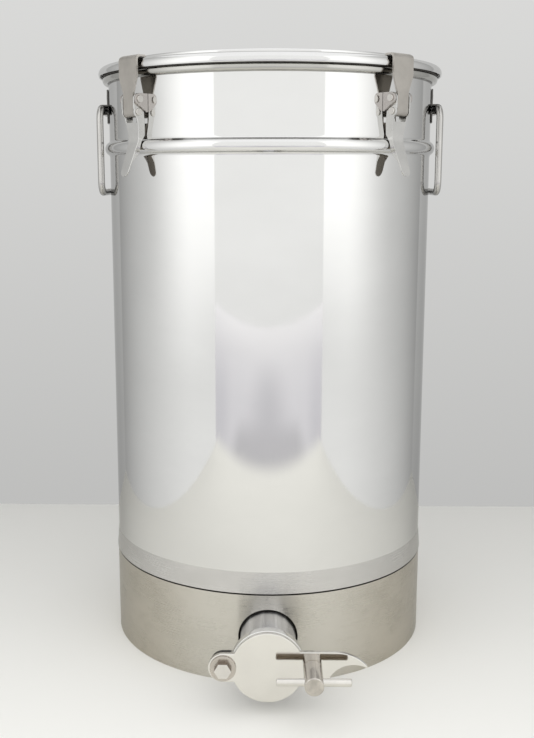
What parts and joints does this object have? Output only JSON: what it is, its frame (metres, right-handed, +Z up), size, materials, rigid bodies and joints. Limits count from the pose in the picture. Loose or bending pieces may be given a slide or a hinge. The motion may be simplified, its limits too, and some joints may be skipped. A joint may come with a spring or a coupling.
{
  "type": "honey settling tank",
  "caption": "Lidded stainless cylinder on a base skirt for settling honey, with a swinging gate tap at its foot, over-centre lid latches and drop handles.",
  "frame": {"origin": "on the tank's axis, in the plane of the floor that the skirt stands on", "axes": "+Z up along the tank's axis, -Y out of the tap, +X to the right as the tap is faced"},
  "size_m": [0.3336, 0.419, 0.571],
  "materials": {
    "polished_steel": "mirror polished stainless sheet",
    "brushed_steel": "brushed stainless sheet",
    "satin_steel": "satin stainless bar and stampings",
    "fastener_steel": "bright stainless fasteners",
    "silicone": "translucent white silicone",
    "seal_rubber": "black sealing ring"
  },
  "bodies": {
    "tank": {"tank_body": "polished_steel", "base_skirt": "brushed_steel", "bottom_pan": "brushed_steel", "lid": "polished_steel", "lid_gasket": "silicone", "outlet_pipe": "brushed_steel", "valve_body": "satin_steel", "valve_seal": "seal_rubber", "pivot_bolt": "fastener_steel", "pivot_washer": "fastener_steel", "valve_nuts": "fastener_steel", "clamp_stud": "fastener_steel", "handle_strap_left": "satin_steel", "handle_strap_right": "satin_steel", "latch_bracket_front_right": "satin_steel", "latch_bracket_back_right": "satin_steel", "latch_bracket_back_left": "satin_steel", "latch_bracket_front_left": "satin_steel", "pivot_rivets_front_right": "fastener_steel", "pivot_rivets_back_right": "fastener_steel", "pivot_rivets_back_left": "fastener_steel", "pivot_rivets_front_left": "fastener_steel"},
    "left_handle": {"handle_left": "satin_steel"},
    "right_handle": {"handle_right": "satin_steel"},
    "gate": {"gate_plate": "polished_steel"},
    "knob": {"clamp_knob": "satin_steel", "tommy_bar": "satin_steel"},
    "lever_front_right": {"latch_lever_front_right": "polished_steel", "hook_rivet_front_right": "fastener_steel"},
    "hook_front_right": {"latch_hook_front_right": "satin_steel"},
    "lever_back_right": {"latch_lever_back_right": "polished_steel", "hook_rivet_back_right": "fastener_steel"},
    "hook_back_right": {"latch_hook_back_right": "satin_steel"},
    "lever_back_left": {"latch_lever_back_left": "polished_steel", "hook_rivet_back_left": "fastener_steel"},
    "hook_back_left": {"latch_hook_back_left": "satin_steel"},
    "lever_front_left": {"latch_lever_front_left": "polished_steel", "hook_rivet_front_left": "fastener_steel"},
    "hook_front_left": {"latch_hook_front_left": "satin_steel"}
  },
  "joints": [
    {"name": "left_handle_swing", "type": "hinge", "parent": "tank", "child": "left_handle", "pos_m": [-0.1613, 0, 0.528], "axis": [0, 1, 0], "range_deg": [0, 150]},
    {"name": "right_handle_swing", "type": "hinge", "parent": "tank", "child": "right_handle", "pos_m": [0.1613, 0, 0.528], "axis": [0, -1, 0], "range_deg": [0, 150]},
    {"name": "gate_swing", "type": "hinge", "parent": "tank", "child": "gate", "pos_m": [-0.039, -0.2169, 0.045], "axis": [0, -1, 0], "range_deg": [0, 110]},
    {"name": "knob_turn", "type": "hinge", "parent": "tank", "child": "knob", "pos_m": [0.039, -0.235, 0.045], "axis": [0, -1, 0], "continuous": true},
    {"name": "lever_front_right_swing", "type": "hinge", "parent": "tank", "child": "lever_front_right", "pos_m": [0.11321, -0.1214, 0.5315], "axis": [-0.7314, -0.682, 0], "range_deg": [0, 95]},
    {"name": "hook_front_right_swing", "type": "hinge", "parent": "lever_front_right", "child": "hook_front_right", "pos_m": [0.11308, -0.12126, 0.5205], "axis": [-0.7314, -0.682, 0], "range_deg": [-114, 0]},
    {"name": "lever_back_right_swing", "type": "hinge", "parent": "tank", "child": "lever_back_right", "pos_m": [0.1214, 0.11321, 0.5315], "axis": [0.682, -0.7314, 0], "range_deg": [0, 95]},
    {"name": "hook_back_right_swing", "type": "hinge", "parent": "lever_back_right", "child": "hook_back_right", "pos_m": [0.12126, 0.11308, 0.5205], "axis": [0.682, -0.7314, 0], "range_deg": [-114, 0]},
    {"name": "lever_back_left_swing", "type": "hinge", "parent": "tank", "child": "lever_back_left", "pos_m": [-0.11321, 0.1214, 0.5315], "axis": [0.7314, 0.682, 0], "range_deg": [0, 95]},
    {"name": "hook_back_left_swing", "type": "hinge", "parent": "lever_back_left", "child": "hook_back_left", "pos_m": [-0.11308, 0.12126, 0.5205], "axis": [0.7314, 0.682, 0], "range_deg": [-114, 0]},
    {"name": "lever_front_left_swing", "type": "hinge", "parent": "tank", "child": "lever_front_left", "pos_m": [-0.1214, -0.11321, 0.5315], "axis": [-0.682, 0.7314, 0], "range_deg": [0, 95]},
    {"name": "hook_front_left_swing", "type": "hinge", "parent": "lever_front_left", "child": "hook_front_left", "pos_m": [-0.12126, -0.11308, 0.5205], "axis": [-0.682, 0.7314, 0], "range_deg": [-114, 0]}
  ],
  "couplings": [
    {"joint": "hook_front_right_swing", "follows": "lever_front_right_swing", "ratio": -1.2},
    {"joint": "hook_back_right_swing", "follows": "lever_back_right_swing", "ratio": -1.2},
    {"joint": "hook_back_left_swing", "follows": "lever_back_left_swing", "ratio": -1.2},
    {"joint": "hook_front_left_swing", "follows": "lever_front_left_swing", "ratio": -1.2}
  ]
}
